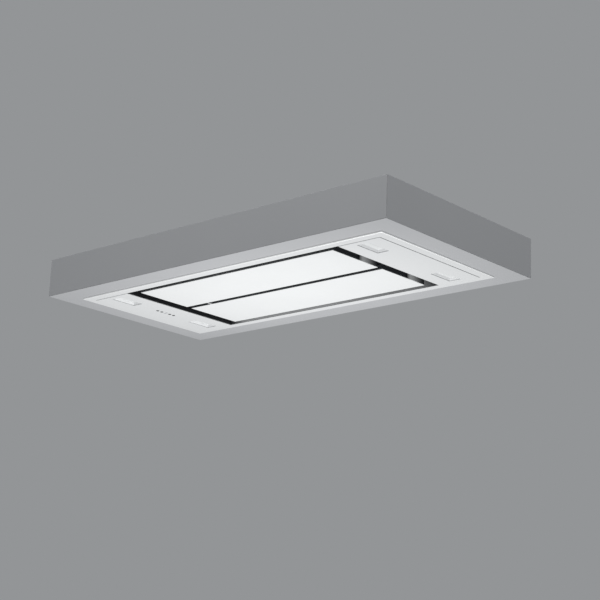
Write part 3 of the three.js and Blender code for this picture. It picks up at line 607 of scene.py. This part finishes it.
def moulded_plastic(name, light, dark, grain_mm, roughness, ior=1.53):
    """Injection-moulded plastic or rubber with a spark-eroded grain that breaks up its sheen."""
    material, tree, place = start_material(name)
    gloss_swing = 0.07
    # The real grain is about 0.1 mm, drawn as coarse as each piece needs to show it.
    grain = add(
        tree, "ShaderNodeTexNoise", {"Vector": place, "Scale": per_metre(grain_mm), "Detail": 3.0}
    )
    tone = add(
        tree,
        "ShaderNodeMix",
        {"Factor": grain.outputs["Fac"], "A": linear(dark), "B": linear(light)},
        data_type="RGBA",
    )
    gloss = add(
        tree,
        "ShaderNodeMapRange",
        {
            "Value": grain.outputs["Fac"],
            "To Min": roughness - gloss_swing,
            "To Max": roughness + gloss_swing,
        },
    )
    bump = add(
        tree,
        "ShaderNodeBump",
        {"Height": grain.outputs["Fac"], "Strength": 0.25, "Distance": 0.1 * MM},
    )
    bsdf = add(
        tree,
        "ShaderNodeBsdfPrincipled",
        {
            "Base Color": tone.outputs["Result"],
            "Roughness": gloss.outputs["Result"],
            "Normal": bump.outputs["Normal"],
            "IOR": ior,
        },
    )
    end_material(tree, bsdf)
    return material


casing_paint = lacquered_board()
white_coat = powder_coated_steel()
edge_painted_highlight = glossy_coat_painted_highlight()
white_glass = back_painted_glass()
glass_edge = glass_edge_painted_shade()
black_steel = dark_coated_steel("black_coated_steel", "#2a2b2e", "#1e1f22")
panel_steel = dark_coated_steel("panel_coated_steel", "#53565a", "#45484b")
wall_coat_painted_shade = coat_painted_light_and_shade()
zinc_sheet = galvanised_steel()
zinc_plate = zinc_plated_steel()
strike_painted_glint = steel_painted_glint()
filter_metal = rolled_aluminium()
mesh_layers_painted_shade = layered_aluminium_mesh()
casting = die_cast_aluminium()
lens_acrylic = frosted_acrylic()
black_nylon = moulded_plastic("black_nylon", "#26272a", "#191a1c", 1.5, 0.48)
key_rubber = moulded_plastic("key_rubber", "#1d1f20", "#151617", 1.0, 0.6)
grey_abs = moulded_plastic("grey_abs", "#787c80", "#6a6e72", 2.0, 0.50)
display_acrylic = moulded_plastic("display_acrylic", "#b9bcbf", "#aeb1b4", 4.0, 0.12, ior=1.49)
white_nylon = moulded_plastic("white_nylon", "#ecedee", "#e2e3e4", 2.0, 0.42)
reflector_white = moulded_plastic("white_polycarbonate", "#dedfe0", "#d6d7d8", 2.0, 0.42)
lamp_rubber = moulded_plastic("lamp_rubber", "#6a6d70", "#5e6164", 1.5, 0.7)
gasket_rubber = moulded_plastic("gasket_rubber", "#bcbec0", "#b0b2b4", 1.5, 0.7)
# The dark seal across each end plate's end is painted shade in the joint.
seal_rubber_painted_shade = moulded_plastic("seal_rubber_painted_shade", "#3a3b3d", "#2d2e30", 1.5, 0.7)


# ---------------------------------------------------------------- CAD nodes


EDGE_ANGLE = math.radians(35)

# A face whose normal has this share along an axis counts as square to it.
SQUARE_ON = 0.9


def soften(target, edge_mm):
    """Rounds the edges of a piece a little, and shades its curved faces smooth."""
    target.data.shade_smooth()
    target.modifiers.new("weld", "WELD").merge_threshold = 0.01 * MM
    if edge_mm:
        bevel = target.modifiers.new("bevel", "BEVEL")
        bevel.width = edge_mm * MM
        bevel.segments = 2
        bevel.limit_method = "ANGLE"
        bevel.angle_limit = EDGE_ANGLE
    target.modifiers.new("sharp_edges", "EDGE_SPLIT").split_angle = EDGE_ANGLE
    target.modifiers.new("flat_faces", "WEIGHTED_NORMAL")


def dress(prefixes, material, edge_mm=0.0):
    """Gives its material to every CAD node whose name starts with one of these words and that no
    earlier call has dressed."""
    for name, target in nodes.items():
        if name.startswith(prefixes) and not target.get("dressed"):
            target.data.materials.clear()
            target.data.materials.append(material)
            target["dressed"] = True
            soften(target, edge_mm)


def dress_faces(target, material, chosen):
    """Gives the chosen faces of a CAD node a second material."""
    target.data.materials.append(material)
    for face in target.data.polygons:
        face.material_index = 1 if chosen(face) else 0


dress(("casing_corner_bracket",), zinc_sheet, edge_mm=0.2)
dress(("casing_",), casing_paint, edge_mm=0.6)
dress(("ceiling_", "chassis", "blower_housing"), zinc_sheet)
dress(("hanger_bolt", "filter_latch"), zinc_plate, edge_mm=0.2)
dress(("face_frame",), white_coat)
dress(("end_plate",), white_coat, edge_mm=0.3)
dress(("suction_tray",), black_steel)
dress(("panel_near_tray", "panel_far_tray"), panel_steel, edge_mm=0.2)
dress(("panel_near_glass", "panel_far_glass"), white_glass)
dress(("panel_near_strike", "panel_far_strike"), strike_painted_glint, edge_mm=0.15)
dress(("panel_near_hinge", "panel_far_hinge"), zinc_plate)
dress(("grease_filter",), filter_metal, edge_mm=0.4)
dress(("lamp_left_near_housing", "lamp_left_far_housing"), casting, edge_mm=0.3)
dress(("lamp_right_near_housing", "lamp_right_far_housing", "blower_motor"), casting, edge_mm=0.3)
dress(("lamp_",), lens_acrylic, edge_mm=0.3)
dress(("control_key",), key_rubber)
dress(("control_display",), display_acrylic, edge_mm=0.15)
dress(("control_housing", "outlet_collar", "junction_box"), grey_abs, edge_mm=0.3)
dress(("impeller", "damper_flap", "catch_bar"), black_nylon)


def grind_glass_edges():
    """The glass is painted white behind its flat and bevelled faces, and its upright edges are ground
    and carry painted shade."""
    for side in ("near", "far"):
        glass = nodes[f"panel_{side}_glass"]
        dress_faces(glass, glass_edge, lambda face: abs(face.normal.z) < 1 - SQUARE_ON)


def coat_tray_walls():
    """Both sides of the suction tray's long walls get the light grey coat with its painted light and
    painted shade.
    """
    wall_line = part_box("suction_tray")[1].y - 2 * MM

    def on_long_wall(face):
        return abs(face.center.y) > wall_line and abs(face.normal.y) > SQUARE_ON

    dress_faces(nodes["suction_tray"], wall_coat_painted_shade, on_long_wall)


def roll_frame_edge():
    """The lower outer edge of the face frame is rolled, and the roll gets the glossy coat with its
    painted highlight.
    """
    rim = nodes["face_frame"]
    rim.data.materials.append(edge_painted_highlight)
    low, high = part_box("face_frame")
    touching = 0.1 * MM
    rolled = rim.data.attributes.new("bevel_weight_edge", "FLOAT", "EDGE")
    for edge in rim.data.edges:
        ends = [rim.data.vertices[index].co for index in edge.vertices]
        low_edge = all(end.z < low.z + touching for end in ends)
        on_end = all(abs(end.x) > high.x - touching for end in ends)
        on_side = all(abs(end.y) > high.y - touching for end in ends)
        rolled.data[edge.index].value = 1.0 if low_edge and (on_end or on_side) else 0.0
    roll = rim.modifiers.new("rolled_edge", "BEVEL")
    roll.width = 3.7 * MM
    roll.segments = 4
    roll.limit_method = "WEIGHT"
    roll.material = 1
    # The roll comes straight after the weld, before the edges are split.
    rim.modifiers.move(len(rim.modifiers) - 1, 1)


def show_filter_layers(end):
    """The recessed faces of a grease filter show its inner mesh layers, with painted shade in their
    openings.
    """
    name = f"grease_filter_{end}"
    low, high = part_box(name)
    recess = 0.5 * MM

    def in_recess(face):
        inside = low.z + recess < face.center.z < high.z - recess
        return inside and abs(face.normal.z) > SQUARE_ON

    dress_faces(nodes[name], mesh_layers_painted_shade, in_recess)


grind_glass_edges()
coat_tray_walls()
roll_frame_edge()
show_filter_layers("left")
show_filter_layers("right")


# ---------------------------------------------------------------- small pieces


def finish_piece(name, shape, material, body, edge_mm=0.0):
    """Turns a bmesh into a piece that moves with a body."""
    mesh = bpy.data.meshes.new(name)
    bmesh.ops.recalc_face_normals(shape, faces=shape.faces)
    shape.to_mesh(mesh)
    shape.free()
    mesh.materials.append(material)
    piece = bpy.data.objects.new(name, mesh)
    scene.collection.objects.link(piece)
    soften(piece, edge_mm)
    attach(piece, body)


def join(shape, first, second):
    """Faces between two loops that have the same number of corners."""
    for corner in range(len(first)):
        after = (corner + 1) % len(first)
        shape.faces.new([first[corner], first[after], second[after], second[corner]])


def revolve(shape, profile, matrix, steps):
    """Adds a closed turned form to a bmesh, from (radius, height) points that start and end on
    the axis."""
    rings = []
    for radius, height in profile:
        if radius == 0:
            rings.append([shape.verts.new(matrix @ Vector((0, 0, height)))])
            continue
        ring = []
        for step in range(steps):
            angle = 2 * math.pi * step / steps
            spot = Vector((radius * math.cos(angle), radius * math.sin(angle), height))
            ring.append(shape.verts.new(matrix @ spot))
        rings.append(ring)
    for lower, upper in zip(rings, rings[1:]):
        for step in range(steps):
            after = (step + 1) % steps
            corners = [lower[step % len(lower)], lower[after % len(lower)]]
            corners += [upper[after % len(upper)], upper[step % len(upper)]]
            # A corner on the axis comes twice, and the face takes it once.
            shape.faces.new(dict.fromkeys(corners))


def facing_matrix(spot, facing):
    """The place of a turned form at a spot, with its axis along a direction."""
    return Matrix.Translation(spot) @ Vector(facing).to_track_quat("Z", "Y").to_matrix().to_4x4()


def strip(name, xs, section, material, body, edge_mm):
    """A straight strip between two places along X, from a closed section of (y, z) points."""
    shape = bmesh.new()
    ends = [[shape.verts.new((x, y, z)) for y, z in section] for x in xs]
    join(shape, *ends)
    for end in ends:
        shape.faces.new(end)
    finish_piece(name, shape, material, body, edge_mm)


def screws(name, places, radius_mm):
    """Pan-head screws with a cross recess, each at a spot with the direction its head faces."""
    shape = bmesh.new()
    radius = radius_mm * MM
    # The head's outline and the arms of its cross, as shares of its radius.
    outline = ((0, 0), (1, 0), (1, 0.35), (0.8, 0.62), (0.45, 0.75), (0.3, 0.45), (0, 0.3))
    head = [(out * radius, up * radius) for out, up in outline]
    half_width = 0.08 * radius
    inner, inner_up = 0.3 * radius, 0.76 * radius
    outer, outer_up = 0.62 * radius, 0.70 * radius
    for spot, facing in places:
        matrix = facing_matrix(spot, facing)
        revolve(shape, head, matrix, steps=14)
        for quarter in range(4):
            angle = quarter * math.pi / 2
            arm = Vector((math.cos(angle), math.sin(angle), 0))
            across = Vector((-arm.y, arm.x, 0)) * half_width
            root = arm * inner + Vector((0, 0, inner_up))
            tip = arm * outer + Vector((0, 0, outer_up))
            corners = (root - across, tip - across, tip + across, root + across)
            shape.faces.new([shape.verts.new(matrix @ corner) for corner in corners])
    finish_piece(name, shape, zinc_plate, "hood")


def expanded_mesh(end):
    """The front layer of a grease filter: slit and stretched sheet, in rows of diamonds."""
    low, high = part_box(f"grease_filter_{end}")
    border, latch_pocket = 11 * MM, 43 * MM
    x0, x1 = low.x + border, high.x - border
    y0, y1 = low.y + latch_pocket, high.y - border
    diamond_length, diamond_width = 13 * MM, 7 * MM
    columns = round((x1 - x0) / diamond_length)
    rows = round((y1 - y0) / diamond_width)
    strand, sheet = 1.1 * MM, 0.5 * MM
    floor = low.z + 0.5 * MM
    half = (y1 - y0) / rows / 2
    shape = bmesh.new()
    for row in range(rows):
        middle = y0 + (row + 0.5) * 2 * half
        for mirror in (-1, 1):
            before = None
            for column in range(2 * columns + 1):
                x = x0 + (x1 - x0) * column / (2 * columns)
                swing = 1 if column % 2 else -1
                y = middle + mirror * swing * (half - strand / 2)
                z = floor + (sheet if mirror * swing > 0 else 0)
                corners = []
                for side, up in ((-1, 0), (1, 0), (1, 1), (-1, 1)):
                    corners.append(shape.verts.new((x, y + side * strand / 2, z + up * sheet)))
                if before:
                    join(shape, before, corners)
                before = corners
    finish_piece(f"filter_mesh_{end}", shape, filter_metal, "hood")


# The lens's rim lies on the end plate, beside the opening.
LENS_RIM = 3.5 * MM


def lamp_ring(title, low, high, profile, material, edge_mm=0.0):
    """A rectangular ring in a lamp opening, from a closed profile of (inset, height) points. The
    insets are counted from the sides of the lens."""
    shape = bmesh.new()
    loops = []
    for inset, z in profile:
        x0, x1 = low.x + inset, high.x - inset
        y0, y1 = low.y + inset, high.y - inset
        spots = ((x0, y0, z), (x1, y0, z), (x1, y1, z), (x0, y1, z))
        loops.append([shape.verts.new(spot) for spot in spots])
    for this, following in zip(loops, loops[1:] + loops[:1]):
        join(shape, this, following)
    finish_piece(title, shape, material, "hood", edge_mm)


def lamp_gasket(name):
    """A thin soft rim that lies between a lamp opening and its lens."""
    low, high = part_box(name)
    plate_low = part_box("end_plate_left")[0]
    outer, inner = LENS_RIM, LENS_RIM + 1.1 * MM
    bottom, top = plate_low.z + 0.5 * MM, low.z - 0.05 * MM
    profile = ((outer, top), (outer, bottom), (inner, bottom), (inner, top))
    title = name.replace("_lens", "_gasket")
    lamp_ring(title, low, high, profile, lamp_rubber, 0.1)


def lamp_reflector(name):
    """A sloped white frame inside a lamp opening, from the gasket up to the lit face."""
    low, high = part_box(name)
    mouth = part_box("end_plate_left")[0].z + 0.9 * MM
    lens_sheet, clearance = 2.5 * MM, 0.1 * MM
    face = high.z - lens_sheet - clearance
    start = LENS_RIM + 1.3 * MM
    end = start + 5.5 * MM
    skin = 0.72 * MM
    profile = ((start, mouth), (end, face), (end - skin, face), (start, mouth + skin))
    title = name.replace("_lens", "_reflector")
    lamp_ring(title, low, high, profile, reflector_white)


def plate_seal(end):
    """The strips in the joint round an end plate: dark across its end, as painted shade in the joint,
    and pale along its sides.
    """
    low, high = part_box(f"end_plate_{end}")
    joint, sink = 1.2 * MM, 0.1 * MM
    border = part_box("face_frame")[0].z
    bottom, top = border + 0.3 * MM, border + 1.3 * MM
    outward = -1 if end == "left" else 1
    edge, inner = (low.x, high.x) if end == "left" else (high.x, low.x)
    reach = edge + outward * joint
    across = sorted((edge + outward * sink, reach))
    along = sorted((inner, reach))
    side0, side1 = high.y + sink, high.y + joint
    # The dark strip across the end is painted shade in the joint.
    for name, xs, (y0, y1), rubber in (
        ("end", across, (-side1, side1), seal_rubber_painted_shade),
        ("near", along, (-side1, -side0), gasket_rubber),
        ("far", along, (side0, side1), gasket_rubber),
    ):
        section = ((y0, bottom), (y1, bottom), (y1, top), (y0, top))
        strip(f"plate_seal_{end}_{name}", xs, section, rubber, "hood", 0.15)


def slit_lip():
    """A small white lip that reaches across the slit from the far panel's inner edge."""
    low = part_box("panel_far_glass")[0]
    middle, half_width = low.x + 90 * MM, 2 * MM
    sheet = 1.0 * MM
    back, front = low.y - 0.3 * MM, low.y - 18.2 * MM
    floor, root = low.z + 0.4 * MM, low.z + 8.0 * MM
    section = [(back, root), (back, floor), (front, floor)]
    section += [(front, floor + sheet), (back - sheet, floor + sheet), (back - sheet, root)]
    xs = (middle - half_width, middle + half_width)
    strip("slit_lip", xs, section, white_nylon, "panel_far", 0.2)


def box_lid():
    """The junction box's lid: a shallow raised plate with rounded corners, and its screws."""
    low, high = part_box("junction_box")
    gland, margin = 14 * MM, 2 * MM
    x0, x1 = low.x + gland + margin, high.x - margin
    y0, y1 = low.y + margin, high.y - margin
    rounding, chamfer = 6 * MM, 1 * MM
    shoulder, top = high.z + 1.2 * MM, high.z + 1.8 * MM
    corner_steps = 4
    shape = bmesh.new()
    rings = []
    for inset, z in ((0, high.z), (0, shoulder), (chamfer, top)):
        ring = []
        for cx, cy, start in (
            (x1 - rounding, y1 - rounding, 0),
            (x0 + rounding, y1 - rounding, 90),
            (x0 + rounding, y0 + rounding, 180),
            (x1 - rounding, y0 + rounding, 270),
        ):
            for step in range(corner_steps + 1):
                angle = math.radians(start + 90 * step / corner_steps)
                reach = rounding - inset
                spot = (cx + reach * math.cos(angle), cy + reach * math.sin(angle), z)
                ring.append(shape.verts.new(spot))
        rings.append(ring)
    for lower, upper in zip(rings, rings[1:]):
        join(shape, lower, upper)
    shape.faces.new(rings[-1])
    shape.faces.new(list(reversed(rings[0])))
    finish_piece("junction_box_lid", shape, grey_abs, "hood")
    edge = 9 * MM
    corners = [(x, y, top) for x in (x0 + edge, x1 - edge) for y in (y0 + edge, y1 - edge)]
    places = [(corner, (0, 0, 1)) for corner in corners]
    screws("junction_box_screws", places, radius_mm=2.6)


def casing_screws():
    """Screws through each corner bracket: two into either side board and one up into the ceiling."""
    sheet, leg = 2 * MM, 24 * MM
    drops = (24 * MM, 62 * MM)
    places = []
    for corner in range(1, 5):
        low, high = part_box(f"casing_corner_bracket_{corner}")
        along_x = -1 if low.x < 0 else 1
        along_y = -1 if low.y < 0 else 1
        wall_x = low.x if along_x < 0 else high.x
        wall_y = low.y if along_y < 0 else high.y
        leg_x, leg_y = wall_x - along_x * leg, wall_y - along_y * leg
        for drop in drops:
            places.append(((leg_x, wall_y - along_y * sheet, -drop), (0, -along_y, 0)))
            places.append(((wall_x - along_x * sheet, leg_y, -drop), (-along_x, 0, 0)))
        places.append(((leg_x, leg_y, -sheet), (0, 0, -1)))
    screws("casing_screws", places, radius_mm=4.2)


def collar_screws():
    """Six screws round the flange of the outlet collar."""
    low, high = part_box("outlet_collar")
    centre = (low + high) / 2
    count, edge, flange = 6, 7 * MM, 2 * MM
    reach = (high.x - low.x) / 2 - edge
    places = []
    for step in range(count):
        angle = 2 * math.pi * (step + 0.5) / count
        x, y = centre.x + reach * math.cos(angle), centre.y + reach * math.sin(angle)
        places.append(((x, y, low.z + flange), (0, 0, 1)))
    screws("collar_screws", places, radius_mm=3.0)


def chassis_rivets():
    """Blind rivets along the chassis's upper edges."""
    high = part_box("chassis")[1]
    flange = 8 * MM
    wall_x, wall_y = high.x - flange, high.y - flange
    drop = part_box("blower_housing")[1].z - 14 * MM
    side_pitch, end_pitch = 130 * MM, 150 * MM
    dome = [(0, 0), (3.2 * MM, 0), (3.0 * MM, 0.7 * MM), (1.6 * MM, 1.2 * MM), (0, 1.2 * MM)]
    shape = bmesh.new()
    places = []
    for step in range(-4, 5):
        for side in (-1, 1):
            places.append(((step * side_pitch, side * wall_y, drop), (0, side, 0)))
    for step in range(-1, 2):
        for side in (-1, 1):
            places.append(((side * wall_x, step * end_pitch, drop), (side, 0, 0)))
    for spot, facing in places:
        revolve(shape, dome, facing_matrix(spot, facing), steps=12)
    finish_piece("chassis_rivets", shape, zinc_plate, "hood")


for end in ("left", "right"):
    expanded_mesh(end)
    plate_seal(end)
    for side in ("near", "far"):
        lamp_gasket(f"lamp_{end}_{side}_lens")
        lamp_reflector(f"lamp_{end}_{side}_lens")
slit_lip()
box_lid()
casing_screws()
collar_screws()
chassis_rivets()


# ---------------------------------------------------------------- stage, light and camera


def studio_floor():
    """A floor in pale matt paint far below the ceiling, seen only from above."""
    material, tree, place = start_material("matt_floor_paint")
    # The tone drifts over 2.5 m.
    drift = add(tree, "ShaderNodeTexNoise", {"Vector": place, "Scale": per_metre(2500), "Detail": 2.0})
    tone = add(
        tree,
        "ShaderNodeMix",
        {"Factor": drift.outputs["Fac"], "A": linear("#cfd0d1"), "B": linear("#d4d5d5")},
        data_type="RGBA",
    )
    bsdf = add(
        tree,
        "ShaderNodeBsdfPrincipled",
        {"Base Color": tone.outputs["Result"], "Roughness": 0.9},
    )
    end_material(tree, bsdf)
    radius, drop = 30.0, 4.6
    shape = bmesh.new()
    bmesh.ops.create_circle(shape, cap_ends=True, radius=radius, segments=64)
    mesh = bpy.data.meshes.new("studio_floor")
    shape.to_mesh(mesh)
    shape.free()
    mesh.materials.append(material)
    floor = bpy.data.objects.new("studio_floor", mesh)
    floor.location.z = -drop
    scene.collection.objects.link(floor)


def studio_light(name, spot, target, size, power):
    """A large soft light that doesn't show itself."""
    data = bpy.data.lights.new(name, "AREA")
    data.shape = "SQUARE"
    data.size = size
    data.energy = power
    light = bpy.data.objects.new(name, data)
    light.location = spot
    light.rotation_euler = (Vector(target) - Vector(spot)).to_track_quat("-Z", "Y").to_euler()
    light.visible_camera = False
    scene.collection.objects.link(light)


studio_floor()
face_middle, face_right, ceiling_middle = (0, 0, -0.1), (0.3, 0, -0.1), (0, 0, 0)
studio_light("light_from_below", (0.0, -0.05, -1.42), face_middle, size=1.1, power=16.9)
studio_light("light_from_above", (1.2, -1.35, 4.2), ceiling_middle, size=3.0, power=262)
studio_light("light_from_far_side", (1.5, 3.2, -3.0), face_right, size=1.5, power=28)
studio_light("light_from_behind", (-3.0, 3.5, 1.5), face_middle, size=2.0, power=60)

world = bpy.data.worlds.new("studio_air")
world.use_nodes = True
air = world.node_tree
air.nodes.clear()
sky = add(air, "ShaderNodeBackground", {"Color": linear("#939597"), "Strength": 1.0})
add(air, "ShaderNodeOutputWorld", {"Surface": sky.outputs["Background"]})
scene.world = world
scene.view_settings.view_transform = "Standard"

camera_data = bpy.data.cameras.new("camera")
camera_data.lens = 92.32
camera_data.sensor_width = 36.0
camera_data.clip_end = 200.0
camera = bpy.data.objects.new("camera", camera_data)
viewpoint = (3.035, -3.262, -1.378)
turn, rise, roll = math.radians(42.13), math.radians(15.35), math.radians(2.27)
camera.matrix_world = (
    Matrix.Translation(viewpoint)
    @ Matrix.Rotation(turn, 4, "Z")
    @ Matrix.Rotation(math.pi / 2 + rise, 4, "X")
    @ Matrix.Rotation(roll, 4, "Z")
)
scene.collection.objects.link(camera)
scene.camera = camera

bpy.context.view_layer.update()
